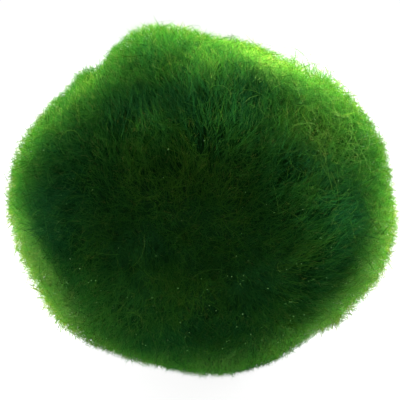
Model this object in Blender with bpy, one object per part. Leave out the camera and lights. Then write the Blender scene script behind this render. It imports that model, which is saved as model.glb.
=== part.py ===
"""Marimo moss ball: one felted ball of green algae filaments, resting on a small flat spot.

The ball grew as one piece, so it is one solid. Its surface is the level that the tips of the
filaments reach. The origin is on the surface that the ball rests on, under the middle of its
outline. +X is its right side, -Y its front and +Z up.
"""

import math

import bpy
import numpy as np
from mathutils import Vector, noise

MM = 0.001

# Driving dimensions: half the width, half the depth and the radius from the middle to the crown.
HALF_WIDTH = 24.5 * MM
HALF_DEPTH = 23.6 * MM
HALF_HEIGHT = 22.0 * MM
FOOT_HEIGHT = 20.9 * MM  # of the ball's middle above the surface that its flat spot rests on

# The outline that shows from the front leans back by this much, as seen from a little above.
OUTLINE_LEAN = math.radians(10)

SUBDIVISIONS = 5  # of the ico sphere: triangles about 1.9 mm wide
HUMMOCK_RISE = 0.45 * MM  # of the gentle unevenness all over
HUMMOCK_WAVES = (3.1, 7.3)  # waves per radius, the broad ones and the tufts
CUTTER_SIZE = 0.08

MOSS_GREEN = (0.020, 0.090, 0.010, 1.0)
MOSS_ROUGHNESS = 0.85

# Swellings and hollows: degrees anticlockwise round the front outline from its right end, degrees
# from there towards the front, spread along the outline and across it, and rise in millimetres.
SWELLINGS = {
    "crown": (107, 0, 9, 26, 1.20),
    "crown_right_dip": (84, 0, 4, 18, -0.30),
    "right_shoulder_worn_flat": (59, 0, 14, 32, -1.25),
    "left_shoulder_notch": (129, 0, 8, 24, -1.90),
    "left_shoulder_slope": (149, 0, 9, 30, -1.10),
    "lower_left_flat": (252, 0, 12, 28, -1.20),
    "lower_right_tuck": (309, 0, 6, 24, -0.95),
    "right_cheek_bulge": (345, 0, 12, 30, 1.50),
    "right_cheek_dip": (5, 0, 4, 18, -0.20),
    "right_cheek_lobe": (16, 0, 6, 20, 0.35),
    "right_shoulder_round": (30, 0, 14, 30, 1.00),
    "right_shoulder_dip": (31, 0, 4, 18, -0.45),
    "left_cheek_worn": (176, 0, 16, 30, -0.30),
    "left_cheek_dip": (203, 0, 9, 24, -0.80),
    "brow": (70, 38, 26, 12, 0.55),
    "front_hollow_right": (15, 50, 16, 14, -0.50),
    "front_hollow_left": (215, 48, 18, 12, -0.55),
    "chin": (262, 42, 22, 12, 0.45),
    "nose": (90, 84, 30, 16, 0.35),
    "back_left_lobe": (165, -48, 17, 16, 0.95),
    "back_right_hollow": (20, -52, 18, 15, -0.95),
    "back_crown_lobe": (75, -58, 16, 14, 0.80),
    "back_low_lobe": (300, -50, 18, 14, 0.55),
    "back_middle_dimple": (200, -78, 15, 13, -0.85),
}


def outline_direction(around, towards_front):
    """The unit vector from the middle to a place given round the front outline, in degrees."""
    up = Vector((0.0, math.sin(OUTLINE_LEAN), math.cos(OUTLINE_LEAN)))
    front = Vector((0.0, -math.cos(OUTLINE_LEAN), math.sin(OUTLINE_LEAN)))
    a, f = math.radians(around), math.radians(towards_front)
    return (Vector((1, 0, 0)) * math.cos(a) + up * math.sin(a)) * math.cos(f) + front * math.sin(f)


def swelling_at(direction):
    """How far the named swellings and hollows lift the surface in this direction."""
    rise = 0.0
    for around, towards_front, along, across, height in SWELLINGS.values():
        peak = outline_direction(around, towards_front)
        across_axis = outline_direction(around, towards_front + 90)
        along_axis = peak.cross(across_axis)
        if direction.dot(peak) <= 0:
            continue
        u = math.degrees(math.asin(direction.dot(along_axis))) / along
        v = math.degrees(math.asin(direction.dot(across_axis))) / across
        rise += height * MM * math.exp(-0.5 * (u * u + v * v))
    return rise


def hummocks_at(direction):
    """The gentle unevenness that a felted ball has all over."""
    broad, tufts = (noise.noise(direction * waves) for waves in HUMMOCK_WAVES)
    return HUMMOCK_RISE * (broad + 0.7 * tufts)


def surface_point(direction):
    """The point of the ball's surface in this direction from its middle."""
    x, y, z = direction
    stretch = math.sqrt((x / HALF_WIDTH) ** 2 + (y / HALF_DEPTH) ** 2 + (z / HALF_HEIGHT) ** 2)
    return direction * (1 / stretch + swelling_at(direction) + hummocks_at(direction))


def moss_material():
    material = bpy.data.materials.new("moss")
    material.use_nodes = True
    shader = material.node_tree.nodes["Principled BSDF"]
    shader.inputs["Base Color"].default_value = MOSS_GREEN
    shader.inputs["Roughness"].default_value = MOSS_ROUGHNESS
    shader.inputs["Metallic"].default_value = 0.0
    return material


def new_collection(name):
    collection = bpy.data.collections.new(name)
    bpy.context.scene.collection.children.link(collection)
    return collection


def move_to(collection, obj):
    for old in list(obj.users_collection):
        old.objects.unlink(obj)
    collection.objects.link(obj)


def make_ball(parts):
    """The ball as it grew: a sphere drawn out to its real surface, centred over the origin."""
    bpy.ops.mesh.primitive_ico_sphere_add(subdivisions=SUBDIVISIONS, radius=1)
    ball = bpy.context.object
    ball.name = "moss_ball"
    places = np.array([surface_point(v.co.normalized()) for v in ball.data.vertices])
    middle = (places.min(axis=0) + places.max(axis=0)) / 2
    places -= (middle[0], middle[1], -FOOT_HEIGHT)
    ball.data.vertices.foreach_set("co", places.ravel())
    ball.data.update()
    ball.data.materials.append(moss_material())
    ball.data.shade_smooth()
    move_to(parts, ball)
    return ball


def flatten_foot(ball, cutters):
    """Takes off what lies under the surface that the ball rests on, which leaves its flat spot."""
    bpy.ops.mesh.primitive_cube_add(size=CUTTER_SIZE, location=(0, 0, -CUTTER_SIZE / 2))
    floor = bpy.context.object
    floor.name = "floor_cutter"
    floor.hide_render = True
    floor.display_type = "WIRE"
    move_to(cutters, floor)
    cut = ball.modifiers.new("flat_spot", "BOOLEAN")
    cut.operation = "DIFFERENCE"
    cut.object = floor


def main():
    for obj in list(bpy.data.objects):
        bpy.data.objects.remove(obj)
    parts = new_collection("moss_ball")
    cutters = new_collection("cutters")
    flatten_foot(make_ball(parts), cutters)


main()
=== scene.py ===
"""The looks of a marimo moss ball: a dark felt of algae, the pile of fine green filaments that
grows out of it, loose threads that lie over the pile, and beads of air caught between the tips."""
import math

import bpy
import numpy as np
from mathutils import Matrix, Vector, kdtree, noise


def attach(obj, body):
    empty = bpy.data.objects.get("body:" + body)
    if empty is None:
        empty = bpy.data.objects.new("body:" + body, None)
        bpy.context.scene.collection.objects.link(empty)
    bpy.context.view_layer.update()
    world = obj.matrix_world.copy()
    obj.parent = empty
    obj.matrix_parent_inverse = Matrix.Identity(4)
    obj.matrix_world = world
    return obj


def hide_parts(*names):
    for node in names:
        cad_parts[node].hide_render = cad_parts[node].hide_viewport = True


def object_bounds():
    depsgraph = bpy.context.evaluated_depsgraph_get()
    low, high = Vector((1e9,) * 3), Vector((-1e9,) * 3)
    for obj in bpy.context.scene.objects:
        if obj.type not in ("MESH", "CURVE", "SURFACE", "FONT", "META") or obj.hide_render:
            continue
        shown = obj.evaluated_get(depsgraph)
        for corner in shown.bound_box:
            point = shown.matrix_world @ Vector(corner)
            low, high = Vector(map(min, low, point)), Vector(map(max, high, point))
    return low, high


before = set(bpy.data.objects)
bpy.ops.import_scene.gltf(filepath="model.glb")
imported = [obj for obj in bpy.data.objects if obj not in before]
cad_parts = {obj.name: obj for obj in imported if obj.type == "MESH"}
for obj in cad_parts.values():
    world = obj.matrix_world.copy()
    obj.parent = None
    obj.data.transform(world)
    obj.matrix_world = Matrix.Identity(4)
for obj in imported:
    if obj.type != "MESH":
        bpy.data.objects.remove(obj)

MM = 0.001
SEED = 1843
CAD_BOX = [list(corner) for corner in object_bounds()]
LOW, HIGH = (Vector(corner) for corner in CAD_BOX)
MIDDLE = (LOW + HIGH) / 2

# The pile, from the felt that it grows out of to the level of its tips.
PILE = 2.7 * MM
FILAMENT_RADIUS = 0.022 * MM
SLIM_TIP = 0.55  # a filament's radius at its tip, as a share of that
THICK_ROOT = 1.6  # and how much more of it the root has
BRANCH_RADIUS = 0.021 * MM
THREAD_RADIUS = 0.018 * MM
FLOOR_GAP = 0.03 * MM  # the lowest that a filament lies
CLEAR_OF_FLOOR = 4 * MM  # the lowest that a wisp or a loose thread grows

# What each piece adds to the seed of its random draws.
PILE_SEED, TIPS_SEED, WISPS_SEED, THREADS_SEED, BEADS_SEED = 10, 30, 40, 50, 70

FLOOR_WIDTH = 6
FLOOR_FADE = 0.20  # the reach over which the floor turns white

# The photograph's view of the ball.
CAMERA_RISE = math.radians(12)
CAMERA_REACH = 0.1435
CAMERA_AIM = MIDDLE + Vector((-0.25, 0, -0.58)) * MM
LENS = 100


# ---------------------------------------------------------------- places on the ball

def place_on_ball(around, towards_front):
    """The direction from the ball's middle of a place that is given in degrees anticlockwise
    round the outline in the photograph, and in degrees from there towards its front."""
    a, f = math.radians(around), math.radians(towards_front)
    up = Vector((0, math.sin(CAMERA_RISE), math.cos(CAMERA_RISE)))
    front = Vector((0, -math.cos(CAMERA_RISE), math.sin(CAMERA_RISE)))
    right = Vector((1, 0, 0))
    return np.array((right * math.cos(a) + up * math.sin(a)) * math.cos(f) + front * math.sin(f))


def regions(outward, places, which=0):
    """The sum of the named places' amounts at each direction from the middle. A place is given by
    degrees round the outline, degrees from there towards the front, its spread along the outline
    and across it, and one or more amounts."""
    total = np.zeros(len(outward))
    for around, towards_front, along, across, *amounts in places.values():
        peak = place_on_ball(around, towards_front)
        across_axis = place_on_ball(around, towards_front + 90)
        along_axis = np.cross(peak, across_axis)
        u = np.degrees(np.arcsin(np.clip(outward @ along_axis, -1, 1))) / along
        v = np.degrees(np.arcsin(np.clip(outward @ across_axis, -1, 1))) / across
        near = np.exp(-0.5 * (u * u + v * v))
        total += np.where(outward @ peak > 0, amounts[which] * near, 0)
    return total


def outward_at(places):
    return unit(places - np.array(MIDDLE))


FRONT = place_on_ball(0, 90)  # the way from the ball's middle to the viewer


def unit(vectors):
    lengths = np.linalg.norm(vectors, axis=-1, keepdims=True)
    return vectors / np.maximum(lengths, 1e-12)


def dots(a, b):
    return (a * b).sum(axis=-1, keepdims=True)


def along_surface(vectors, normals):
    """The part of each vector that lies along the surface."""
    return vectors - normals * dots(vectors, normals)


def field(places, size, offset=0.0):
    """A smooth random value from about -1 to 1 at each place, with features of this size. The
    offset gives another pattern."""
    shift = Vector((offset, offset * 1.7, -offset * 0.6))
    return np.array([noise.noise(Vector(p) / size + shift) for p in places])


def vector_field(places, size, offset=0.0):
    shift = Vector((offset, -offset * 1.3, offset * 2.1))
    return np.array([noise.noise_vector(Vector(p) / size + shift) for p in places])


# ---------------------------------------------------------------- shader maths

class Wire:
    """A value in a material. Python's operators add the Math nodes, also after a number."""

    def __init__(self, paint, socket):
        self.paint, self.socket = paint, socket

    def _with(self, operation, other, swap=False):
        values = [other, self] if swap else [self, other]
        return self.paint.node("ShaderNodeMath", {"operation": operation}, values)

    def __add__(self, other):
        return self._with("ADD", other)

    def __sub__(self, other):
        return self._with("SUBTRACT", other)

    def __rsub__(self, other):
        return self._with("SUBTRACT", other, swap=True)

    def __mul__(self, other):
        return self._with("MULTIPLY", other)

    def __truediv__(self, other):
        return self._with("DIVIDE", other)

    def __rtruediv__(self, other):
        return self._with("DIVIDE", other, swap=True)

    def __pow__(self, other):
        return self._with("POWER", other)

    def __rpow__(self, other):
        return self._with("POWER", other, swap=True)

    __radd__, __rmul__ = __add__, __mul__


class Paint:
    """The nodes of one material."""

    def __init__(self, name):
        self.material = bpy.data.materials.new(name)
        self.material.use_nodes = True
        self.tree = self.material.node_tree
        self.tree.nodes.clear()

    def node(self, kind, settings=None, sockets=(), output=0):
        """Adds a node. Settings come first, then the sockets, by place or by name."""
        made = self.tree.nodes.new(kind)
        for name, value in (settings or {}).items():
            if name == "stops":
                self._set_stops(made.color_ramp, value)
            else:
                setattr(made, name, value)
        pairs = sockets.items() if isinstance(sockets, dict) else enumerate(sockets)
        for key, value in pairs:
            if isinstance(value, Wire):
                self.tree.links.new(value.socket, made.inputs[key])
            else:
                made.inputs[key].default_value = value
        return Wire(self, made.outputs[output]) if made.outputs else None

    def _set_stops(self, ramp, stops):
        while len(ramp.elements) < len(stops):
            ramp.elements.new(0.5)
        for element, (place, colour) in zip(ramp.elements, stops):
            element.position = place
            element.color = (*colour, 1)

    def mix(self, share, first, second):
        """A colour between two colours."""
        named = {"Factor": share, 6: first, 7: second}
        return self.node("ShaderNodeMix", {"data_type": "RGBA"}, named, output=2)

    def ramp(self, value, stops):
        return self.node("ShaderNodeValToRGB", {"stops": stops}, [value])

    def finish(self, shader):
        self.node("ShaderNodeOutputMaterial", None, {"Surface": shader})
        return self.material


def colour(r, g, b):
    return (r, g, b, 1)


BLACK, NEAR_WHITE, WHITE = colour(0, 0, 0), colour(0.94, 0.94, 0.94), colour(1, 1, 1)
BLUISH_FELT, YELLOWISH_FELT = colour(0.006, 0.042, 0.014), colour(0.011, 0.060, 0.009)
PALE_FIBRES = colour(0.030, 0.130, 0.012)
FIBRE_CONTRAST = 3.0
# Painted glint: the air beads' pale greens stand for the light that they catch.
DIM_BEAD_GLINT, BRIGHT_BEAD_GLINT = colour(0.20, 0.50, 0.10), colour(0.40, 0.76, 0.26)
FLOOR_GREY = colour(0.10, 0.10, 0.10)

# Colours of filaments by shade, from the dark of old growth to pale loose threads. Every filament
# is of one of a few kinds, which go in equal steps from the blue-greens to the yellow-greens. The
# last kind is as the yellow-greens, but golden against the light.
KINDS = 5
YELLOWEST = KINDS - 2
BLUE_GREENS = [
    (0.00, (0.006, 0.050, 0.019)),
    (0.30, (0.009, 0.078, 0.018)),
    (0.55, (0.017, 0.120, 0.024)),
    (0.75, (0.050, 0.215, 0.040)),
    (0.90, (0.180, 0.440, 0.085)),
    (1.00, (0.320, 0.660, 0.160)),
]
YELLOW_GREENS = [
    (0.00, (0.010, 0.052, 0.008)),
    (0.30, (0.015, 0.080, 0.007)),
    (0.55, (0.030, 0.125, 0.009)),
    (0.75, (0.095, 0.250, 0.022)),
    (0.90, (0.280, 0.480, 0.055)),
    (1.00, (0.460, 0.700, 0.120)),
]
# The light that comes through a blue-green filament, a yellow-green one and a golden one.
OLD_GROWTH_THROUGH = (0.32, 0.80, 0.15), (0.50, 0.82, 0.16), (0.80, 0.88, 0.20)
YOUNG_GROWTH_THROUGH = (0.76, 0.92, 0.32), (0.96, 0.92, 0.38), (1.00, 0.90, 0.42)
LEAST_CLEARNESS = 0.16  # how much of the light the darkest filament's tip lets through
CLEARNESS_BY_SHADE = 0.90  # and how much more the palest one does
ROOT_SHADE = 0.90  # how bright a filament's root is beside its tip
TIP_COLOUR_POWER = 1.5  # how late along a filament its tip's colour comes in
CLEAR_TIP_POWER = 1.2  # and how late it lets light through


def filament_material(name, light_through):
    paint = Paint(name)
    place = paint.node("ShaderNodeUVMap", {"uv_map": "OFBake"})
    across = paint.node("ShaderNodeSeparateXYZ", None, [place])
    height = paint.node("ShaderNodeSeparateXYZ", None, [place], output=1)
    kind = paint.node("ShaderNodeMath", {"operation": "FLOOR"}, [across * KINDS])
    shade = across * KINDS - kind
    yellow = kind / YELLOWEST
    tip = paint.mix(yellow, paint.ramp(shade, BLUE_GREENS), paint.ramp(shade, YELLOW_GREENS))
    root = paint.mix(1 - ROOT_SHADE, tip, BLACK)
    body = paint.node(
        "ShaderNodeBsdfPrincipled", None,
        {"Base Color": paint.mix(height ** TIP_COLOUR_POWER, root, tip), "Roughness": 0.7,
         "Specular IOR Level": 0.0},
    )
    blue_light, yellow_light, golden_light = (
        paint.node("ShaderNodeBsdfTranslucent", None, {"Color": colour(*light)})
        for light in light_through
    )
    through = paint.node("ShaderNodeMixShader", None, [yellow, blue_light, yellow_light])
    through = paint.node("ShaderNodeMixShader", None, [kind - YELLOWEST, through, golden_light])
    clear = height ** CLEAR_TIP_POWER * (shade * CLEARNESS_BY_SHADE + LEAST_CLEARNESS)
    return paint.finish(paint.node("ShaderNodeMixShader", None, [clear, body, through]))


def felt_material():
    paint = Paint("moss_felt")
    place = paint.node("ShaderNodeTexCoord", output=3)
    tangle = paint.node(
        "ShaderNodeTexNoise", None, {"Vector": place, "Scale": 2600.0, "Detail": 6.0},
    )
    patches = paint.node("ShaderNodeTexNoise", None, {"Vector": place, "Scale": 220.0})
    dark = paint.mix(patches, BLUISH_FELT, YELLOWISH_FELT)
    fibres = paint.mix(tangle ** FIBRE_CONTRAST, dark, PALE_FIBRES)
    relief = paint.node(
        "ShaderNodeBump", None, {"Strength": 0.8, "Distance": 0.0002, "Height": tangle},
    )
    return paint.finish(paint.node(
        "ShaderNodeBsdfPrincipled", None,
        {"Base Color": fibres, "Roughness": 0.9, "Specular IOR Level": 0.0, "Normal": relief},
    ))


def air_material():
    paint = Paint("air_bead")
    place = paint.node("ShaderNodeTexCoord", output=3)
    cloud = paint.node("ShaderNodeTexNoise", None, {"Vector": place, "Scale": 900.0})
    # Pale colour as a painted glint of the light that the air catches.
    pale = paint.mix(cloud, DIM_BEAD_GLINT, BRIGHT_BEAD_GLINT)
    return paint.finish(paint.node(
        "ShaderNodeBsdfPrincipled", None,
        {"Base Color": pale, "Roughness": 0.3, "Specular IOR Level": 0.1},
    ))


def floor_material():
    paint = Paint("floor")
    place = paint.node("ShaderNodeTexCoord", output=3)
    reach = paint.node("ShaderNodeVectorMath", {"operation": "LENGTH"}, [place], output=1)
    # The floor glows white, though it is no lamp, and lights the ball from below. Its glow is a
    # little dimmer near the ball: faint painted shade round the ball's foot.
    white = paint.mix(reach / FLOOR_FADE, NEAR_WHITE, WHITE)
    return paint.finish(paint.node(
        "ShaderNodeBsdfPrincipled", None,
        {"Base Color": FLOOR_GREY, "Roughness": 0.7, "Specular IOR Level": 0.2,
         "Emission Color": white, "Emission Strength": 1.0},
    ))


# ---------------------------------------------------------------- the felt

def leave_nothing_selected():
    bpy.ops.object.select_all(action="DESELECT")


def add_object(name, mesh):
    obj = bpy.data.objects.new(name, mesh)
    bpy.context.scene.collection.objects.link(obj)
    return obj


def apply_modifiers(obj):
    leave_nothing_selected()
    obj.select_set(True)
    bpy.context.view_layer.objects.active = obj
    for modifier in list(obj.modifiers):
        bpy.ops.object.modifier_apply(modifier=modifier.name)


# Where the pile is worn short and even, and lies flat.
WORN = {
    "foot": (270, -12, 20, 20, 1.0),
    "lower_edge": (256, -2, 13, 14, 1.0),
    "lower_right_edge": (292, -2, 12, 14, 0.9),
    "left_shoulder": (120, 0, 8, 10, 0.8),
    "lower_left_edge": (236, 1, 9, 12, 0.85),
    "lower_right_corner": (308, 0, 6, 12, 0.4),
}
WORN_SHORTER = 0.88  # the share of its depth that the pile loses there

MERGE_DISTANCE = 0.001 * MM
FELT_SOFTENING = 0.5
SOFTENING_ROUNDS = 3


def worn_at(places):
    return np.clip(regions(outward_at(places), WORN), 0, 1)


def pile_depth(places):
    return PILE * (1 - WORN_SHORTER * worn_at(places))


def places_of(obj):
    places = np.empty(len(obj.data.vertices) * 3)
    obj.data.vertices.foreach_get("co", places)
    return places.reshape(-1, 3)


def make_felt():
    """The dense felt under the pile: the ball's own solid, drawn in by the depth of the pile."""
    felt = add_object("moss_felt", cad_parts["moss_ball"].data.copy())
    felt.data.materials.clear()
    felt.data.materials.append(felt_material())
    leave_nothing_selected()
    felt.select_set(True)
    bpy.context.view_layer.objects.active = felt
    bpy.ops.object.mode_set(mode="EDIT")
    bpy.ops.mesh.select_all(action="SELECT")
    bpy.ops.mesh.remove_doubles(threshold=MERGE_DISTANCE)
    bpy.ops.mesh.normals_make_consistent(inside=False)
    bpy.ops.object.mode_set(mode="OBJECT")
    depth = felt.vertex_groups.new(name="pile_depth")
    for vertex, reach in zip(felt.data.vertices, pile_depth(places_of(felt))):
        depth.add([vertex.index], reach / PILE, "REPLACE")
    draw_in = felt.modifiers.new("draw_in", "DISPLACE")
    draw_in.vertex_group = depth.name
    draw_in.mid_level = 0
    draw_in.strength = -PILE
    soften = felt.modifiers.new("soften", "SMOOTH")
    soften.factor = FELT_SOFTENING
    soften.iterations = SOFTENING_ROUNDS
    apply_modifiers(felt)
    felt.data.shade_smooth()
    return felt


# ---------------------------------------------------------------- filaments

def roots_on(felt, count, rng, lift=0.0):
    """Random places on the felt, even by area, and the felt's outward direction at each. They are
    lifted off it by this share of the pile's depth."""
    mesh = felt.data
    mesh.calc_loop_triangles()
    corners = np.empty(len(mesh.loop_triangles) * 3, np.int32)
    mesh.loop_triangles.foreach_get("vertices", corners)
    facing = np.empty(len(mesh.vertices) * 3)
    mesh.vertices.foreach_get("normal", facing)
    a, b, c = corners.reshape(-1, 3).T
    points, facing = places_of(felt), facing.reshape(-1, 3)
    area = np.linalg.norm(np.cross(points[b] - points[a], points[c] - points[a]), axis=1)
    pick = rng.choice(len(area), count, p=area / area.sum())
    u, v = rng.random((2, count, 1))
    over = u + v > 1
    u, v = np.where(over, 1 - u, u), np.where(over, 1 - v, v)
    a, b, c = a[pick], b[pick], c[pick]
    places = points[a] * (1 - u - v) + points[b] * u + points[c] * v
    normals = unit(facing[a] * (1 - u - v) + facing[b] * u + facing[c] * v)
    return places + normals * lift * pile_depth(places)[:, None], normals


STRIP = 0.005  # of the shade map's width, for each filament
CAP_HEIGHT = 0.03  # of a strand's height on the map, for the face that closes its base
SIDES = 3


def strand_faces(rings):
    """The faces of one closed, three-sided, pointed strand. Each corner is a vertex's number,
    its place round the strand and its ring, from 0 at the base to rings at the tip."""
    faces = []
    for k in range(rings - 1):
        for j in range(SIDES):
            n = k * SIDES + (j + 1) % SIDES
            faces.append([(k * SIDES + j, j, k), (n, j + 1, k),
                          (n + SIDES, j + 1, k + 1), (k * SIDES + SIDES + j, j, k + 1)])
    last = (rings - 1) * SIDES
    for j in range(SIDES):
        faces.append([(last + j, j, rings - 1), (last + (j + 1) % SIDES, j + 1, rings - 1),
                      (rings * SIDES, j + 0.5, rings)])
    faces.append([(0, 0, 0), (2, 2, 0), (1, 1, CAP_HEIGHT * rings)])
    return faces


def kinds_of(yellow, rng):
    """Each filament's kind, from 0 for blue-green to the last for golden, where the growth is this
    yellow."""
    kinds = np.floor(yellow * YELLOWEST + rng.random(len(yellow)))
    return np.clip(kinds, 0, KINDS - 1)


def strands(paths, radii, shades, kinds, facing, start=0.0):
    """Pointed strands along the paths, as arrays: vertices, the corners' vertices, the size of
    each face, the corners' places on the shade map and the way that each vertex faces the light.
    A path's last point is its strand's tip. The kinds of filament are side by side on the shade
    map, the bluest first and the golden last. start is how far up a filament each strand begins."""
    count, points = paths.shape[:2]
    rings = points - 1
    ahead = np.empty_like(paths)
    ahead[:, 0] = paths[:, 1] - paths[:, 0]
    ahead[:, 1:-1] = paths[:, 2:] - paths[:, :-2]
    ahead = unit(ahead[:, :rings])
    rng = np.random.default_rng(SEED + count)
    side = unit(np.cross(ahead, rng.normal(size=(count, 1, 3))))
    other = np.cross(ahead, side)
    turn = 2 * math.pi * np.arange(SIDES)[:, None] / SIDES
    round_path = side[:, :, None] * np.cos(turn) + other[:, :, None] * np.sin(turn)
    round_path = paths[:, :rings, None] + round_path * radii[:, :rings, None, None]
    vertices = np.concatenate([round_path.reshape(count, -1, 3), paths[:, -1:]], axis=1)
    vertices[..., 2] = np.maximum(vertices[..., 2], FLOOR_GAP)
    faces = strand_faces(rings)
    corner, around, ring = np.array([c for face in faces for c in face]).T
    corners = corner.astype(int) + vertices.shape[1] * np.arange(count)[:, None]
    sizes = np.tile([len(face) for face in faces], count)
    across = shades[:, None] * (1 / KINDS - STRIP) + around / SIDES * STRIP + kinds[:, None] / KINDS
    start = np.broadcast_to(start, count)[:, None]
    up = start + (1 - start) * ring / rings
    places = np.stack([across, up], axis=-1).reshape(-1, 2)
    facing = np.repeat(facing, vertices.shape[1], axis=0)
    return vertices.reshape(-1, 3), corners.ravel(), sizes, places, facing


def join_strands(name, families, material):
    """One mesh of several families of strands."""
    shift, corners = 0, []
    for vertices, numbers, *_ in families:
        corners.append(numbers + shift)
        shift += len(vertices)
    vertices, _, sizes, places, facing = (np.concatenate(part) for part in zip(*families))
    corners = np.concatenate(corners)
    mesh = bpy.data.meshes.new(name)
    mesh.vertices.add(len(vertices))
    mesh.vertices.foreach_set("co", vertices.ravel())
    mesh.loops.add(len(corners))
    mesh.loops.foreach_set("vertex_index", corners)
    mesh.polygons.add(len(sizes))
    mesh.polygons.foreach_set("loop_start", np.cumsum(sizes) - sizes)
    mesh.update(calc_edges=True)
    mesh.shade_smooth()
    mesh.uv_layers.new(name="OFBake").uv.foreach_set("vector", places.ravel())
    mesh.normals_split_custom_set_from_vertices(facing.tolist())
    mesh.materials.append(material)
    return add_object(name, mesh)


# How the pile is combed: degrees round the outline, degrees from there towards the front, the
# spread in degrees, the direction that it is combed in, given in the same way, and how hard.
COMBING = {
    "upper_middle": (92, 62, 38, 92, 0, 1.5),
    "upper_right_swirl": (66, 32, 16, 5, 0, 1.1),
    "right_cheek": (5, 40, 24, 15, 0, 1.0),
    "lower_right_sweep": (330, 52, 22, 8, 0, 1.7),
    "lower_left_rays": (228, 42, 26, 232, 0, 1.4),
    "left_cheek": (180, 35, 22, 175, 0, 1.0),
    "chin": (270, 30, 18, 265, 0, 0.6),
    "lower_edge": (258, 0, 18, 0, -90, 2.6),
    "lower_right_edge": (296, 0, 14, 0, -90, 2.2),
    "crown_cap": (112, 8, 12, 165, 0, 0.6),
}

# Where the pile is longer or shorter than elsewhere, in millimetres.
RISES = {
    "right_shoulder_spray": (52, 0, 1.8, 14, 0.5),
    "right_shoulder_knot": (43, 0, 2.5, 14, 0.9),
    "right_shoulder_gap": (48, 0, 2.2, 12, -2.0),
    "crown_right": (68, 0, 5, 16, 0.5),
    "brow_dip": (87, 0, 4, 12, -0.8),
    "crown_spike": (91, 0, 1.2, 8, 0.3),
    "crown": (102, 0, 7, 14, 0.1),
    "left_shoulder_cut": (128.5, 0, 2.0, 12, -1.6),
    "left_shoulder_knob": (134, 0, 3.5, 12, 1.2),
    "left_shoulder": (139, 0, 8, 14, 0.45),
    "left_slope": (164, 0, 10, 14, 0.4),
    "lower_left_ledge": (223, 0, 3.0, 14, 0.5),
    "lower_edge": (255, 0, 18, 16, -0.5),
    "lower_right_dip": (285, 0, 3, 12, -0.45),
    "lower_right_step": (318, 0, 2.5, 14, 0.3),
    "left_cheek": (195, 0, 20, 14, 0.2),
    "right_shoulder_loose": (47, 4, 7, 8, -0.35),
    "left_cheek_notch": (195, 0, 3, 14, -1.0),
    "lower_left_dip": (207, 0, 6, 14, -0.35),
    "lower_right_hollow": (327, 0, 4, 14, -0.6),
    "right_shoulder_slope": (58, 0, 4, 12, -0.95),
    "right_cheek_dip": (34, 0, 3, 12, -0.45),
}

# Where some filaments stick out of the pile, as a share of its depth. The filaments lie close
# along the ball's lower edge.
RAGGED = {
    "right_shoulder": (48, 4, 11, 16, 0.16),
    "right_cheek": (5, 0, 24, 16, 0.08),
    "lower_right": (322, 0, 14, 16, 0.12),
    "left_cheek": (195, 0, 30, 16, 0.08),
    "lower_edge": (260, 0, 18, 20, -0.04),
    "lower_left": (214, 0, 14, 16, 0.11),
}

# Where the filaments are tangled.
TANGLES = {
    "right_web": (24, 40, 18, 16, 1.0),
    "right_cheek": (350, 34, 16, 14, 0.5),
    "top": (66, 16, 20, 16, 0.5),
    "lower_edge": (270, 30, 20, 10, 0.4),
    "back_web": (150, -40, 30, 22, 0.8),
}
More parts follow.
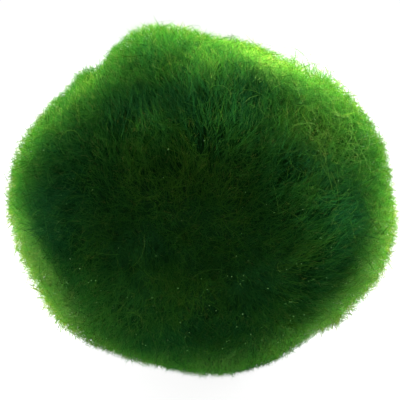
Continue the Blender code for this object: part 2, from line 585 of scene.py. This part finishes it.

# Where the pile is paler or darker than elsewhere, and more yellow or more blue: partly the
# growth's own patches, partly painted light. The paler, more golden places along the outline are a
# painted glow of the light from behind, and the darker places in the core of the front, in the
# hollows, on the underside and on the back are painted shade. These amounts and those of the other
# tables of places were tuned until the render looked and measured like the photograph.
TONES_AND_PAINTED_LIGHT = {
    "middle": (268, 84, 34, 34, 0.04, 0.1),
    "crown": (116, 14, 20, 14, 0.07, -0.1),
    "top": (82, 30, 22, 9, 0.1, -0.05),
    # Painted glow: the top outline is made golden where light comes through from behind.
    "top_rim": (62, 7, 26, 8, -0.08, 1.0),
    "upper_middle": (92, 62, 26, 12, -0.06, -0.05),
    "upper_left": (126, 58, 12, 10, -0.12, -0.1),
    "upper_left_rim": (140, 20, 24, 12, 0.0, -0.05),
    "upper_right_band": (70, 30, 12, 5, 0.3, 0.3),
    # Painted shade in a hollow.
    "upper_right_hollow": (58, 49, 9, 6, -0.3, 0.0),
    "right_web": (29, 53, 11, 7, 0.52, -0.15),
    "right_cheek_hollow": (18, 28, 8, 5, -0.04, -0.2),
    # Painted shade in a hollow.
    "right_hollow": (349, 41, 9, 6, -0.34, -0.25),
    # Painted glow along the right outline.
    "right_rim": (356, 7, 20, 6, 0.1, 0.6),
    "right_sweep": (338, 60, 12, 7, 0.12, 0.0),
    "lower_right_shade": (303, 70, 9, 7, -0.04, 0.05),
    # Painted glow along the lower right outline.
    "lower_right_rim": (325, 5, 20, 5, 0.3, 0.5),
    "lower_right_border": (328, 20, 16, 7, 0.48, -0.7),
    "lower_middle_shade": (248, 70, 22, 8, -0.26, 0.1),
    # Painted shade in a hollow.
    "lower_hollow": (282, 47, 12, 5, -0.12, -0.25),
    # Painted glow along the lower outline.
    "lower_edge": (280, 19, 22, 7, 0.38, -0.5),
    "lower_ridge": (246, 53, 14, 6, 0.02, 0.0),
    "lower_ridge_hollow": (249, 34, 10, 4, -0.16, -0.2),
    "lower_left_hollow": (210, 43, 7, 5, -0.04, -0.3),
    "lower_left_shade": (211, 57, 10, 5, -0.12, 0.0),
    "lower_left": (226, 36, 16, 9, 0.06, -0.35),
    # Painted glow along the lower left and left outline, with painted shade in the hollow inside
    # it.
    "lower_left_rim": (216, 5, 22, 5, 0.42, 0.5),
    "left_hollow": (187, 42, 17, 8, -0.3, -0.2),
    "left_rim": (203, 16, 20, 8, 0.36, -0.1),
    # Painted shade on the underside, much darker where the ball sits on the floor.
    "underside": (264, 4, 26, 7, -0.85, -0.2),
    "lower_right_sweep": (326, 58, 8, 6, 0.22, -0.1),
    "lower_edge_shade": (256, 46, 10, 6, -0.14, -0.15),
    # Painted glow along the lower left outline.
    "lower_left_border": (212, 24, 16, 7, 0.46, -0.8),
    "right_border": (327, 28, 13, 6, 0.22, -0.1),
    "lower_edge_band": (282, 29, 20, 6, 0.27, -0.3),
    "lower_middle_edge": (255, 29, 14, 6, 0.1, -0.3),
    # Painted shade in the core of the front, here and in the next two places.
    "upper_left_core": (118, 65, 11, 8, -0.46, 0.0),
    "upper_right_core": (62, 64, 12, 8, -0.22, 0.0),
    "right_core": (2, 56, 9, 8, -0.52, 0.0),
    "right_band": (8, 24, 12, 6, 0.22, 0.0),
    # Painted glow near the lower right outline.
    "right_low": (332, 16, 10, 7, 0.34, 0.0),
    "left_core": (161, 64, 8, 7, 0.26, 0.0),
    "top_middle": (100, 54, 10, 6, 0.48, 0.0),
    "left_band": (204, 28, 14, 6, 0.06, -0.1),
    # Painted glow near the lower left outline.
    "left_low": (205, 17, 9, 7, 0.56, 0.0),
    "left_inner": (190, 55, 9, 6, 0.12, 0.0),
    # Painted shade on the back, the side that faces the lamps.
    "back": (90, -88, 46, 46, -0.16, 0.0),
    "top_right_low": (74, 42, 12, 6, 0.18, 0.0),
    "lower_right_low": (322, 39, 9, 7, -0.32, 0.0),
    "left_shoulder_band": (165, 32, 10, 8, 0.12, 0.0),
    "lower_right_dark": (336, 47, 9, 6, -0.06, -0.35),
    "upper_right_rim": (42, 32, 10, 7, 0.18, -0.05),
    "right_web_inner": (28, 67, 8, 6, -0.12, 0.0),
    "upper_core": (72, 80, 18, 8, 0.12, 0.0),
    "lower_shade": (297, 61, 8, 6, -0.26, 0.0),
    "lower_middle": (268, 60, 9, 7, 0.14, 0.12),
    # Painted golden glow along the outline, here and in the next two places.
    "left_edge": (176, 8, 22, 5, 0.0, 0.7),
    "lower_left_gold": (219, 15, 20, 4, 0.04, 0.75),
    "lower_right_gold": (320, 14, 16, 4, 0.02, 0.6),
    "right_web_lower": (21, 44, 6, 5, 0.13, 0.0),
    "right_cheek_band": (4, 38, 5, 4, 0.18, 0.0),
    "left_border": (184, 27, 8, 10, -0.12, 0.0),
    "upper_right_inner": (54, 48, 10, 7, -0.22, 0.0),
    "right_inner": (5, 56, 5, 4, -0.12, 0.0),
    "lower_right_lit": (341, 36, 5, 5, 0.12, 0.0),
    "lower_left_inner": (220, 47, 8, 6, 0.14, 0.0),
    "lower_right_inner": (300, 42, 8, 6, -0.12, 0.0),
}

# The random patterns in the growth: the size of each one's features, and its own offset. The pile
# is paler and darker by patches and by streaks that run along it.
LEAN_REGIONS, LEAN_PATCHES = (9 * MM, 3.1), (3.2 * MM, 8.4)
HEIGHT_REGIONS, SHADE_REGIONS, YELLOW_REGIONS = (4.5 * MM, 5.5), (11 * MM, 1.2), (7 * MM, 4.6)
PATCHES, STREAKS = (3 * MM, 2.4), (1.3 * MM, 6.3)
TANGLED_WAYS, TUFT_HEIGHTS = (1.1 * MM, 4.9), (0.8 * MM, 7.7)

LEAN_BY_REGION, LEAN_BY_PATCH, LEAN_BY_COMBING = 0.65, 0.50, 0.5
LEAST_LEAN = 0.6  # how flat the pile lies round the outline
FRONT_LEAN = 1.8  # and how much flatter it lies on the front and the back
FRONT_LEAN_POWER = 1.5  # how near to them that starts


def combed(places, normals):
    """The direction along the surface that the pile leans in at each place."""
    lean = LEAN_BY_REGION * vector_field(places, *LEAN_REGIONS)
    lean = lean + LEAN_BY_PATCH * vector_field(places, *LEAN_PATCHES)
    outward = outward_at(places)
    for around, towards_front, spread, *way, strength in COMBING.values():
        near = dots(outward, place_on_ball(around, towards_front))
        share = np.exp((near - 1) / (1 - math.cos(math.radians(spread))))
        lean += LEAN_BY_COMBING * strength * share * place_on_ball(*way)
    lean *= LEAST_LEAN + FRONT_LEAN * np.abs(dots(outward, FRONT)) ** FRONT_LEAN_POWER
    return along_surface(lean, normals)


TUFTS = 18000  # places that tell the filaments near them how to grow
STREAK_REACH = 4.0 * MM
STREAK_STEPS = 9
STREAK_RISE = 0.12  # of the pile's depth
TUFT_RISE = 0.10  # of the pile's depth
RAGGED_TUFTS = 2.4  # how much more the tufts stand out where the pile is ragged
CLUMPING = 0.35  # how far the tips of a tuft draw together
FRONT_LOOSER = 0.6  # the share of that which is lost on the front and the back
LEAST_RAGGED = 0.04

# A tuft's height, shade and yellowness: the mean, and how much they vary over broad regions, by
# patches and along streaks.
MEAN_HEIGHT, HEIGHT_BY_REGION = 1.06, 0.12
MEAN_SHADE, SHADE_BY_REGION, SHADE_BY_PATCH, SHADE_BY_STREAK = 0.46, 0.15, 0.10, 0.19
MEAN_YELLOW, YELLOW_BY_REGION, YELLOW_BY_PATCH, YELLOW_BY_STREAK = 0.34, 0.24, 0.24, 0.25
SHADE_SCATTER = 0.01
STREAK_CONTRAST = 2.8


def streaks(places, lean):
    """A random value that runs in streaks along the lean of the pile."""
    steps = np.linspace(-STREAK_REACH, STREAK_REACH, STREAK_STEPS)
    total = sum(field(places + unit(lean) * step, *STREAKS) for step in steps)
    return STREAK_CONTRAST * total / STREAK_STEPS


def grow_tufts(felt, rng):
    """How the filaments near each tuft lean and clump, and how high, ragged, tangled, pale, yellow
    and worn they are. Their paleness and yellowness also carry the painted glow and painted shade
    of the table of tones."""
    places, normals = roots_on(felt, TUFTS, rng)
    outward = outward_at(places)
    lean = combed(places, normals)
    streak = streaks(places, lean)
    tangle = regions(outward, TANGLES)
    lean += along_surface(vector_field(places, *TANGLED_WAYS) * tangle[:, None], normals)
    height = MEAN_HEIGHT + HEIGHT_BY_REGION * field(places, *HEIGHT_REGIONS)
    height = height + STREAK_RISE * streak
    ragged = np.clip(LEAST_RAGGED + regions(outward, RAGGED), 0, 1)
    height += (TUFT_RISE + RAGGED_TUFTS * ragged) * field(places, *TUFT_HEIGHTS)
    height += regions(outward, RISES) * MM / PILE
    patch = field(places, *PATCHES)
    shade = MEAN_SHADE + SHADE_BY_REGION * field(places, *SHADE_REGIONS)
    shade = shade + SHADE_BY_PATCH * patch + SHADE_BY_STREAK * streak
    # The table of tones adds a painted glow along the outline and painted shade elsewhere.
    shade += SHADE_SCATTER * rng.normal(size=TUFTS) + regions(outward, TONES_AND_PAINTED_LIGHT)
    yellow = MEAN_YELLOW + YELLOW_BY_REGION * field(places, *YELLOW_REGIONS)
    yellow = yellow + YELLOW_BY_PATCH * patch + YELLOW_BY_STREAK * streak
    # It also paints the glow along the outline golden.
    yellow += regions(outward, TONES_AND_PAINTED_LIGHT, 1)
    depth, worn = pile_depth(places), worn_at(places)
    tree = kdtree.KDTree(TUFTS)
    for i, p in enumerate(places):
        tree.insert(p, i)
    tree.balance()
    front = np.abs(outward @ FRONT)
    clump = (1 - worn) * (1 - FRONT_LOOSER * front)
    return {
        "place": places, "lean": lean, "clump": clump, "height": height, "ragged": ragged,
        "tangle": tangle, "shade": shade, "yellow": yellow, "depth": depth, "worn": worn,
        "front": front, "tree": tree,
    }


def nearest_tufts(tufts, places):
    return np.array([tufts["tree"].find(p)[1] for p in places])


STEM_POINTS = 3
STEM_THICKNESS = 0.75, 1.25  # the least and the most of the usual radius
LEAN_RANGE = 0.6, 1.05  # how far a filament leans, as a share of its tuft's lean
HEIGHT_RANGE = -0.08, 0.04  # how much higher it is, as a share of its tuft's height

# How far a filament strays from its tuft's lean: a share of STRAY where the pile is worn, more
# shares of it where it is loose and tangled, and an amount of its own where it is ragged.
STRAY, FURTHEST_STRAY = 0.32, 1.6
STRAY_WORN, STRAY_LOOSE, STRAY_TANGLED, STRAY_RAGGED = 0.4, 0.6, 1.2, 1.5

# Where the pile is ragged, a filament's tip is under the others by up to TUCKED_IN, or past them
# by up to FURTHEST_OUT less that, times how ragged the pile is.
TUCKED_IN, FURTHEST_OUT = 0.6, 2.4

WORN_LEANS_LESS = 0.5  # the share of its reach to the side that a worn filament loses
STEEP_ROOT, STEEPER_WORN = 0.40, 0.45  # how much faster a filament rises at its root
BOW_POWER = 1.5  # how late along it a filament leans over
WAVER = 0.32  # how far a filament curves to one side
WAVER_HALF_TURNS = 1.3


def pile_paths(places, normals, tufts, rng):
    """Paths of filaments that grow at these places and lean with the tuft that they are in."""
    count = len(places)
    tuft = nearest_tufts(tufts, places)
    ragged, worn = tufts["ragged"][tuft], tufts["worn"][tuft]
    loose = 1 - worn
    strays = np.clip(rng.normal(size=(count, 3)), -FURTHEST_STRAY, FURTHEST_STRAY)
    strays = along_surface(strays, normals)
    straying = STRAY_WORN + STRAY_LOOSE * loose + STRAY_TANGLED * tufts["tangle"][tuft]
    straying = STRAY * straying + STRAY_RAGGED * ragged
    lean = tufts["lean"][tuft] * rng.uniform(*LEAN_RANGE, (count, 1)) + strays * straying[:, None]
    to_tuft = along_surface(tufts["place"][tuft] - places, normals)
    clump = to_tuft * (CLUMPING * tufts["clump"][tuft])[:, None]
    sticking_out = np.minimum(rng.exponential(1.0, count), FURTHEST_OUT) - TUCKED_IN
    height = 1 + loose * rng.uniform(*HEIGHT_RANGE, count) + ragged * sticking_out
    height = height[:, None] * tufts["depth"][tuft][:, None] * tufts["height"][tuft][:, None]
    reach = PILE * (1 - WORN_LEANS_LESS * worn[:, None])
    side = unit(np.cross(normals, lean + 1e-6)) * rng.normal(0, WAVER, (count, 1))
    t = np.linspace(0, 1, STEM_POINTS)[None, :, None]
    up = normals[:, None] * height[:, None]
    sideways = (lean * reach)[:, None]
    curl = (side * reach)[:, None]
    rise = t * (1 + (STEEP_ROOT + STEEPER_WORN * worn[:, None, None]) * (1 - t))
    bow = t ** BOW_POWER
    waver = np.sin(t * math.pi * WAVER_HALF_TURNS)
    paths = places[:, None] + up * rise + sideways * bow
    return paths + curl * waver + clump[:, None] * bow, tuft


def taper(count, rng):
    """The radii of filaments along their stems."""
    along = np.linspace(0, 1, STEM_POINTS)
    shape = SLIM_TIP + THICK_ROOT * (1 - along) ** 2
    return FILAMENT_RADIUS * rng.uniform(*STEM_THICKNESS, (count, 1)) * shape


WORN_TIGHTER = 0.85
FACING_LEAN, FACING_SCATTER = 0.25, 0.06


def looseness(tufts, tuft):
    """How freely side branches and young tips spread: little where the pile is worn flat."""
    return 1 - WORN_TIGHTER * tufts["worn"][tuft][:, None]


def choose(chance, count, rng):
    """Picks this many places, each by its chance."""
    return rng.choice(len(chance), count, replace=False, p=chance / chance.sum())


def facing_of(normals, lean, rng):
    """Filaments lie so thick that they catch the light as the pile does, not each by itself."""
    return unit(normals + FACING_LEAN * lean + FACING_SCATTER * rng.normal(size=normals.shape))


PILE_PIECES = 4
FILAMENTS = 8700  # in each piece of the pile
STEM_SCATTER = 0.05  # how much the shades of the stems in one tuft vary
PALEST_STEM = 0.94
BRANCHES = 3  # on each filament
BRANCH_THICKNESS = 0.8, 1.2
BRANCH_SPREAD, BRANCH_LIFT = 0.5, 0.10  # how far a branch turns to one side and outwards
BRANCH_FROM = 0.22, 0.80  # how far up its stem a branch starts
BRANCH_TO = 1.02  # and about how far up it ends
BRANCH_LENGTH = 0.75, 1.05
BRANCH_WORN, BRANCH_LOOSE = 0.45, 0.55  # its length in the worn pile, and what looseness adds
BRANCH_REACH = 0.3  # how much longer branches are on the front and the back
BRANCH_SCATTER = 0.03
PALEST = 0.96  # shade of a branch, a young tip or a wisp


def branch_paths(stems, normals, loose, front, rng):
    """Side branches: each starts on its stem and runs on upwards, a little to one side."""
    count = len(stems)
    at = rng.uniform(*BRANCH_FROM, (count, 1))
    lower = stems[:, 0] + (stems[:, 1] - stems[:, 0]) * at * 2
    upper = stems[:, 1] + (stems[:, 2] - stems[:, 1]) * (at * 2 - 1)
    base = np.where(at < 0.5, lower, upper)
    stem_way = np.where(at < 0.5, stems[:, 1] - stems[:, 0], stems[:, 2] - stems[:, 1])
    aside = along_surface(rng.normal(size=(count, 3)), normals)
    way = unit(stem_way) + BRANCH_SPREAD * loose * aside + BRANCH_LIFT * loose * normals
    reach = PILE * (BRANCH_WORN + BRANCH_LOOSE * loose) * rng.uniform(*BRANCH_LENGTH, (count, 1))
    reach = reach * (BRANCH_TO - at) * (1 + BRANCH_REACH * front)
    return np.stack([base, base + unit(way) * reach], axis=1), at[:, 0]


def make_pile(number, felt, tufts, material):
    """A share of the pile: curved stems that grow out of the felt, with straight side branches."""
    rng = np.random.default_rng(SEED + PILE_SEED + number)
    places, normals = roots_on(felt, FILAMENTS, rng)
    stems, tuft = pile_paths(places, normals, tufts, rng)
    scatter = STEM_SCATTER * rng.normal(size=FILAMENTS)
    shades = np.clip(tufts["shade"][tuft] + scatter, 0, PALEST_STEM)
    kinds = kinds_of(tufts["yellow"][tuft], rng)
    loose, front = looseness(tufts, tuft), tufts["front"][tuft][:, None]
    facing = facing_of(normals, tufts["lean"][tuft], rng)
    families = [strands(stems, taper(FILAMENTS, rng), shades, kinds, facing)]
    for _ in range(BRANCHES):
        paths, at = branch_paths(stems, normals, loose, front, rng)
        radii = BRANCH_RADIUS * rng.uniform(*BRANCH_THICKNESS, (FILAMENTS, 1))
        scatter = BRANCH_SCATTER * rng.normal(size=FILAMENTS)
        branch_shades = np.clip(shades + scatter, 0, PALEST)
        families.append(strands(paths, radii, branch_shades, kinds, facing, at))
    return join_strands(f"pile_{number + 1}", families, material)


YOUNG_TIPS = 21000
YOUNG_TIP_REACH = 0.18, 0.34  # of the pile's depth
YOUNG_TIP_WORN, YOUNG_TIP_LOOSE = 0.3, 0.7  # its share in the worn pile, and what looseness adds
YOUNG_TIP_THICKNESS = 0.7, 1.1  # as a share of a branch's radius
YOUNG_TIP_SPREAD, YOUNG_TIP_LIFT = 0.5, 0.15
YOUNG_TIP_SCATTER = 0.06
YOUNG_TIP_YELLOWER = 0.4
YOUNG_TIP_FROM = 0.6  # how far up a filament's colours it starts

WISPS = 5000
WISPS_AT_OUTLINE = 1.2  # the chance of a wisp there, which is less by 1 on the front and the back
WISP_RADIUS = 0.046 * MM
WISP_THICKNESS = 0.6, 1.1
WISP_TAPER = 1.0, 0.85, 0.0
WISP_REACH = 0.16  # of the pile's depth, at most, past the filament that a wisp lies along
WISP_SPREAD, WISP_LIFT = 0.7, 0.3
WISP_BEND = 0.05  # of the pile's depth
WISP_DARKER, WISP_SCATTER = 0.17, 0.08
WISP_YELLOWER = 0.5
WISP_FROM = 0.2  # how far up a filament's colours it starts


def make_young_tips(felt, tufts, material):
    """Short young filaments that grow out of the outermost part of the pile."""
    rng = np.random.default_rng(SEED + TIPS_SEED)
    places, normals = roots_on(felt, YOUNG_TIPS, rng)
    stems, tuft = pile_paths(places, normals, tufts, rng)
    base = (stems[:, 1] + stems[:, 2]) / 2
    loose = looseness(tufts, tuft)
    aside = along_surface(rng.normal(size=base.shape), normals)
    way = unit(stems[:, 2] - stems[:, 1])
    way = way + loose * (YOUNG_TIP_SPREAD * aside + YOUNG_TIP_LIFT * normals)
    reach = PILE * (YOUNG_TIP_WORN + YOUNG_TIP_LOOSE * loose)
    reach = reach * rng.uniform(*YOUNG_TIP_REACH, (YOUNG_TIPS, 1))
    paths = np.stack([base, base + unit(way) * reach], axis=1)
    scatter = YOUNG_TIP_SCATTER * rng.normal(size=YOUNG_TIPS)
    shades = np.clip(tufts["shade"][tuft] + scatter, 0, PALEST)
    radii = BRANCH_RADIUS * rng.uniform(*YOUNG_TIP_THICKNESS, (YOUNG_TIPS, 1))
    kinds = kinds_of(tufts["yellow"][tuft] + YOUNG_TIP_YELLOWER, rng)
    facing = facing_of(normals, tufts["lean"][tuft], rng)
    tips = strands(paths, radii, shades, kinds, facing, YOUNG_TIP_FROM)
    return join_strands("young_tips", [tips], material)


def make_wisps(felt, tufts, material):
    """Stouter, darker wisps of several filaments that cling together and stand out of the pile."""
    rng = np.random.default_rng(SEED + WISPS_SEED)
    places, normals = roots_on(felt, 3 * WISPS, rng)
    tuft = nearest_tufts(tufts, places)
    chance = (WISPS_AT_OUTLINE - tufts["front"][tuft]) * (1 - tufts["worn"][tuft])
    keep = choose(chance * (places[:, 2] > CLEAR_OF_FLOOR), WISPS, rng)
    places, normals = places[keep], normals[keep]
    stems, tuft = pile_paths(places, normals, tufts, rng)
    way = unit(stems[:, 2] - stems[:, 1])
    aside = along_surface(rng.normal(size=places.shape), normals)
    onwards = way + WISP_SPREAD * aside + WISP_LIFT * normals
    tips = stems[:, 2] + onwards * rng.uniform(0, WISP_REACH, (WISPS, 1)) * PILE
    middles = (stems[:, 1] + 2 * stems[:, 2]) / 3 + aside * WISP_BEND * PILE
    paths = np.stack([stems[:, 1], middles, tips], axis=1)
    radii = WISP_RADIUS * rng.uniform(*WISP_THICKNESS, (WISPS, 1)) * np.array([WISP_TAPER])
    scatter = WISP_SCATTER * rng.normal(size=WISPS)
    shades = np.clip(tufts["shade"][tuft] - WISP_DARKER + scatter, 0, PALEST)
    kinds = kinds_of(tufts["yellow"][tuft] + WISP_YELLOWER, rng)
    facing = facing_of(normals, tufts["lean"][tuft], rng)
    wisps = strands(paths, radii, shades, kinds, facing, WISP_FROM)
    return join_strands("wisps", [wisps], material)


THREADS = 1700
THREAD_POINTS = 9
THREAD_LENGTH = 2.0, 5.5  # in millimetres
THREAD_LEVEL = 0.86  # of the pile's depth
THREAD_THICKNESS = 0.6, 1.0
THREAD_SHADE = 0.62, 0.12  # the mean, and how much it varies
THREAD_YELLOW = 0.4
PALEST_THREAD = 0.97
THREADS_OFF_WEBS = 0.3  # the chance of a thread where there is no web
THREAD_BEND = 0.16  # about how far a thread turns at each point, in radians
UNSTEADY_BEND = 0.6  # the share of that which changes from point to point
ARCH_RANGE = 0.1, 0.6  # how high a thread arches over the pile, in millimetres
ARCH_POWER = 0.5


def thread_paths(places, normals, rng, length, wander, arch):
    """Threads that lie over the pile, each a curve that keeps near the level of the tips."""
    count = len(places)
    ahead = unit(along_surface(rng.normal(size=(count, 3)), normals))
    bend = rng.normal(0, wander)[:, None]
    step = (length / (THREAD_POINTS - 1))[:, None]
    points, here = [], places
    for _ in range(THREAD_POINTS):
        points.append(here)
        up = outward_at(here)
        turn = bend + rng.normal(0, UNSTEADY_BEND * wander)[:, None]
        ahead = unit(along_surface(ahead + np.cross(up, ahead) * turn, up))
        here = here + ahead * step
    paths = np.stack(points, axis=1)
    t = np.linspace(0, 1, THREAD_POINTS)[None, :]
    rise = np.sin(t * math.pi) ** ARCH_POWER * rng.uniform(*ARCH_RANGE, (count, 1)) * arch[:, None]
    return paths + outward_at(paths) * rise[..., None]


# Where loose threads lie in a web over the pile.
DENSE_WEB = 9  # the amount from which on the threads are palest, thickest and most bent
WEB_BEND, WEB_PALER, WEB_THICKER = 0.24, 0.24, 0.6  # what that adds to bend, shade and radius
WEBS = {
    "right_web": (29, 42, 13, 13, 9.0),
    "right_cheek": (355, 40, 14, 16, 2.0),
    "upper_right_swirl": (66, 34, 12, 8, 3.0),
    "right_shoulder_curls": (47, 2, 8, 7, 20.0),
    "left_shoulder": (157, 34, 8, 8, 2.0),
    "back_web": (150, -40, 30, 22, 2.0),
}

# Where they stand up in curls, and how much higher those are.
CURLS = {
    "right_shoulder": (47, 2, 8, 9, 1.8),
}
CURL_RISE = 1.6


def make_threads(felt, material):
    """Loose threads that lie over the pile, paler, thicker and more bent where they form a web."""
    rng = np.random.default_rng(SEED + THREADS_SEED)
    places, normals = roots_on(felt, 4 * THREADS, rng, lift=THREAD_LEVEL)
    web = regions(outward_at(places), WEBS)
    keep = choose((THREADS_OFF_WEBS + web) * (places[:, 2] > CLEAR_OF_FLOOR), THREADS, rng)
    places, normals, web = places[keep], normals[keep], np.minimum(web[keep] / DENSE_WEB, 1)
    length = rng.uniform(*THREAD_LENGTH, THREADS) * MM
    arch = (1 + CURL_RISE * regions(outward_at(places), CURLS)) * MM
    paths = thread_paths(places, normals, rng, length, THREAD_BEND + WEB_BEND * web, arch)
    shades = rng.normal(*THREAD_SHADE, THREADS) + WEB_PALER * web
    shades = np.clip(shades, 0, PALEST_THREAD)
    radii = THREAD_RADIUS * (1 + WEB_THICKER * web[:, None])
    radii = radii * rng.uniform(*THREAD_THICKNESS, (THREADS, 1))
    radii = np.repeat(radii, THREAD_POINTS, axis=1)
    kinds = kinds_of(np.full(THREADS, THREAD_YELLOW), rng)
    return join_strands("loose_threads", [strands(paths, radii, shades, kinds, normals)], material)


BEADS = 600
BEAD_RADIUS = 0.030, 0.068  # in millimetres
BEAD_LEVEL = 1.02  # of the pile's depth
LOWEST_BEAD = 7 * MM
BEADS_THIN_OUT = 14 * MM  # the height above which there are fewer of them
THINNING_REACH = 8 * MM


def make_beads(felt, material):
    """Beads of air caught between the tips, most of them low on the ball."""
    rng = np.random.default_rng(SEED + BEADS_SEED)
    places, _ = roots_on(felt, 4 * BEADS, rng, lift=BEAD_LEVEL)
    height = places[:, 2]
    low = np.exp(-np.maximum(height - BEADS_THIN_OUT, 0) / THINNING_REACH)
    keep = choose(low * (height > LOWEST_BEAD), BEADS, rng)
    leave_nothing_selected()
    bpy.ops.mesh.primitive_ico_sphere_add(subdivisions=1, radius=1)
    bead = bpy.context.object
    corners = np.array([v.co for v in bead.data.vertices])
    faces = np.array([p.vertices for p in bead.data.polygons])
    bpy.data.objects.remove(bead)
    sizes = rng.uniform(*BEAD_RADIUS, (BEADS, 1, 1)) * MM
    vertices = (places[keep][:, None] + corners[None] * sizes).reshape(-1, 3)
    order = (faces[None] + len(corners) * np.arange(BEADS)[:, None, None]).reshape(-1, 3)
    mesh = bpy.data.meshes.new("air_beads")
    mesh.from_pydata(vertices.tolist(), [], order.tolist())
    mesh.shade_smooth()
    mesh.materials.append(material)
    return add_object("air_beads", mesh)


# ---------------------------------------------------------------- studio

def make_floor():
    leave_nothing_selected()
    bpy.ops.mesh.primitive_plane_add(size=FLOOR_WIDTH)
    floor = bpy.context.object
    floor.name = "floor"
    floor.data.materials.append(floor_material())


# Where each softbox stands, its width and its power in watts.
SOFTBOXES = {
    "overhead_softbox": ((0.06, 0.32, 0.375), 0.34, 13.0),
    "rear_left_softbox": ((-0.34, 0.26, 0.08), 0.24, 6.0),
    "rear_right_softbox": ((0.36, 0.26, 0.12), 0.24, 6.4),
}
SURROUNDINGS = 0.12  # how bright they are, though the camera sees them white


def add_softbox(name, place, size, watts):
    light = bpy.data.lights.new(name, "AREA")
    light.shape = "SQUARE"
    light.size = size
    light.energy = watts
    box = bpy.data.objects.new(name, light)
    box.location = place
    box.rotation_euler = (MIDDLE - Vector(place)).to_track_quat("-Z", "Y").to_euler()
    bpy.context.scene.collection.objects.link(box)


def light_studio():
    for name, (place, size, watts) in SOFTBOXES.items():
        add_softbox(name, place, size, watts)
    world = bpy.data.worlds.new("studio")
    bpy.context.scene.world = world
    world.use_nodes = True
    tree = world.node_tree
    tree.nodes.clear()
    dim, bright = (tree.nodes.new("ShaderNodeBackground") for _ in range(2))
    dim.inputs["Color"].default_value = WHITE
    dim.inputs["Strength"].default_value = SURROUNDINGS
    bright.inputs["Color"].default_value = WHITE
    seen = tree.nodes.new("ShaderNodeLightPath")
    either = tree.nodes.new("ShaderNodeMixShader")
    out = tree.nodes.new("ShaderNodeOutputWorld")
    tree.links.new(seen.outputs["Is Camera Ray"], either.inputs[0])
    tree.links.new(dim.outputs[0], either.inputs[1])
    tree.links.new(bright.outputs[0], either.inputs[2])
    tree.links.new(either.outputs[0], out.inputs[0])


def place_camera():
    lens = bpy.data.cameras.new("camera")
    lens.lens = LENS
    lens.clip_start = 0.005
    camera = bpy.data.objects.new("camera", lens)
    back = Vector((0, -math.cos(CAMERA_RISE), math.sin(CAMERA_RISE)))
    camera.location = CAMERA_AIM + back * CAMERA_REACH
    camera.rotation_euler = back.to_track_quat("Z", "Y").to_euler()
    bpy.context.scene.collection.objects.link(camera)
    bpy.context.scene.camera = camera


def main():
    scene = bpy.context.scene
    scene.view_settings.view_transform = "Standard"
    place_camera()
    light_studio()
    make_floor()
    felt = make_felt()
    noise.seed_set(SEED)  # noise_vector goes by the clock without it
    tufts = grow_tufts(felt, np.random.default_rng(SEED))
    old_growth = filament_material("old_growth", OLD_GROWTH_THROUGH)
    young_growth = filament_material("young_growth", YOUNG_GROWTH_THROUGH)
    pieces = [felt]
    for number in range(PILE_PIECES):
        pieces.append(make_pile(number, felt, tufts, old_growth))
    pieces.append(make_young_tips(felt, tufts, young_growth))
    pieces.append(make_wisps(felt, tufts, old_growth))
    pieces.append(make_threads(felt, old_growth))
    pieces.append(make_beads(felt, air_material()))
    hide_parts("moss_ball")
    for piece in pieces:
        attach(piece, "root")


main()
